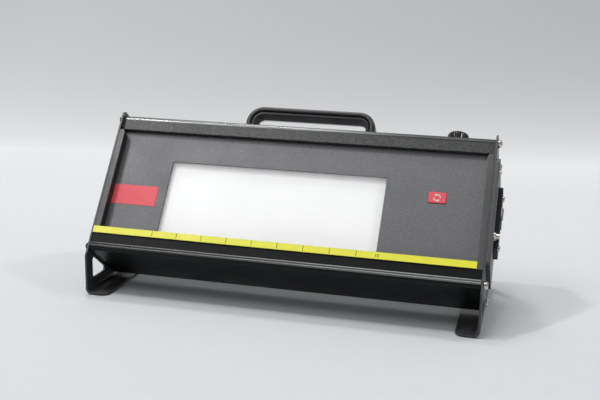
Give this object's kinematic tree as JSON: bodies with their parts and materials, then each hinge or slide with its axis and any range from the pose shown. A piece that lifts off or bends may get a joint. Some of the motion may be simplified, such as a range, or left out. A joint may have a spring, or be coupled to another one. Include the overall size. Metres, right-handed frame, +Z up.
{
  "type": "radiographic film viewer",
  "caption": "Tilted LED film viewer: lit window over a ruled ledge, two folded side brackets, carrying handle, dimmer knob, push button and power inlet module.",
  "frame": {"origin": "centre of the bounding box in X and Y, on the floor plane under the foot pads", "axes": "+X along the viewer to the connector end, +Y backwards, +Z up; the front panel faces -Y and leans back 35.8 degrees"},
  "size_m": [0.3998, 0.152, 0.1788],
  "materials": {
    "black_powder_coat": "satin, fine texture",
    "black_anodised": "satin, anodised",
    "grey_texture_paint": "matt, fine texture",
    "pad_rubber": "matt",
    "black_plastic": "matt",
    "handle_plastic": "fine grain",
    "knob_plastic": "semi gloss",
    "red_button": "semi gloss",
    "red_label": "smooth film",
    "yellow_strip": "smooth film",
    "clear_glass": "clear",
    "opal_acrylic": "opal",
    "white_paint": "matt white",
    "white_board": "solder mask",
    "green_board": "solder mask",
    "led_phosphor": "smooth",
    "raw_aluminium": "as extruded",
    "steel_screw": "zinc plated",
    "black_screw": "blackened",
    "bright_nickel": "nickel plated",
    "pin_brass": "tinned"
  },
  "bodies": {
    "root": {"side_bracket_left": "black_powder_coat", "side_bracket_right": "black_powder_coat", "foot_pad_left": "pad_rubber", "foot_pad_right": "pad_rubber", "top_profile": "black_anodised", "bottom_profile": "black_anodised", "rear_cover": "black_powder_coat", "front_panel": "grey_texture_paint", "edge_guide_left": "black_plastic", "edge_guide_right": "black_plastic", "scale_strip": "yellow_strip", "blank_label": "red_label", "window_glass": "clear_glass", "diffuser": "opal_acrylic", "light_box": "white_paint", "led_board": "white_board", "leds": "led_phosphor", "heat_sink": "raw_aluminium", "light_box_screws": "steel_screw", "fan_frame_left": "black_plastic", "fan_frame_right": "black_plastic", "fan_screws": "black_screw", "power_supply": "raw_aluminium", "power_supply_screws": "black_screw", "control_board": "green_board", "control_board_screws": "steel_screw", "button_switch": "black_plastic", "potentiometer": "raw_aluminium", "potentiometer_nut": "bright_nickel", "carrying_handle": "handle_plastic", "handle_screws": "steel_screw", "connector_cover": "black_powder_coat", "connector_cover_screws": "bright_nickel", "power_module": "black_plastic", "power_module_screws": "bright_nickel", "inlet_pins": "pin_brass", "foot_jack": "bright_nickel", "foot_jack_nut": "bright_nickel", "end_screws_left": "black_screw", "end_screws_right": "bright_nickel", "rear_cover_screws": "black_screw"},
    "dimmer": {"dimmer_shaft": "raw_aluminium", "dimmer_knob": "knob_plastic"},
    "push_button": {"window_button": "red_button", "button_plunger": "steel_screw"},
    "rocker": {"power_rocker": "black_plastic"},
    "fuse_holder": {"fuse_drawer": "black_plastic", "fuse": "clear_glass"},
    "left_fan": {"fan_rotor_left": "black_plastic"},
    "right_fan": {"fan_rotor_right": "black_plastic"}
  },
  "joints": [
    {"name": "dimmer_turn", "type": "hinge", "parent": "root", "child": "dimmer", "pos_m": [0.1489, 0.05299, 0.1535], "axis": [0, 0.585, 0.8111], "range_deg": [-140, 140]},
    {"name": "button_press", "type": "slide", "parent": "root", "child": "push_button", "axis": [0, 0.8111, -0.585], "range_m": [0, 0.001], "stiffness_N_per_m": 1500},
    {"name": "rocker_swing", "type": "hinge", "parent": "root", "child": "rocker", "pos_m": [0.196, 0.01175, 0.09804], "axis": [0, 0.585, 0.8111], "range_deg": [0, 16]},
    {"name": "fuse_drawer_pull", "type": "slide", "parent": "root", "child": "fuse_holder", "axis": [1, 0, 0], "range_m": [0, 0.018]},
    {"name": "left_fan_spin", "type": "hinge", "parent": "root", "child": "left_fan", "pos_m": [-0.0787, 0.01671, 0.06217], "axis": [0, 0.8111, -0.585], "continuous": true},
    {"name": "right_fan_spin", "type": "hinge", "parent": "root", "child": "right_fan", "pos_m": [0.0357, 0.01671, 0.06217], "axis": [0, 0.8111, -0.585], "continuous": true}
  ]
}
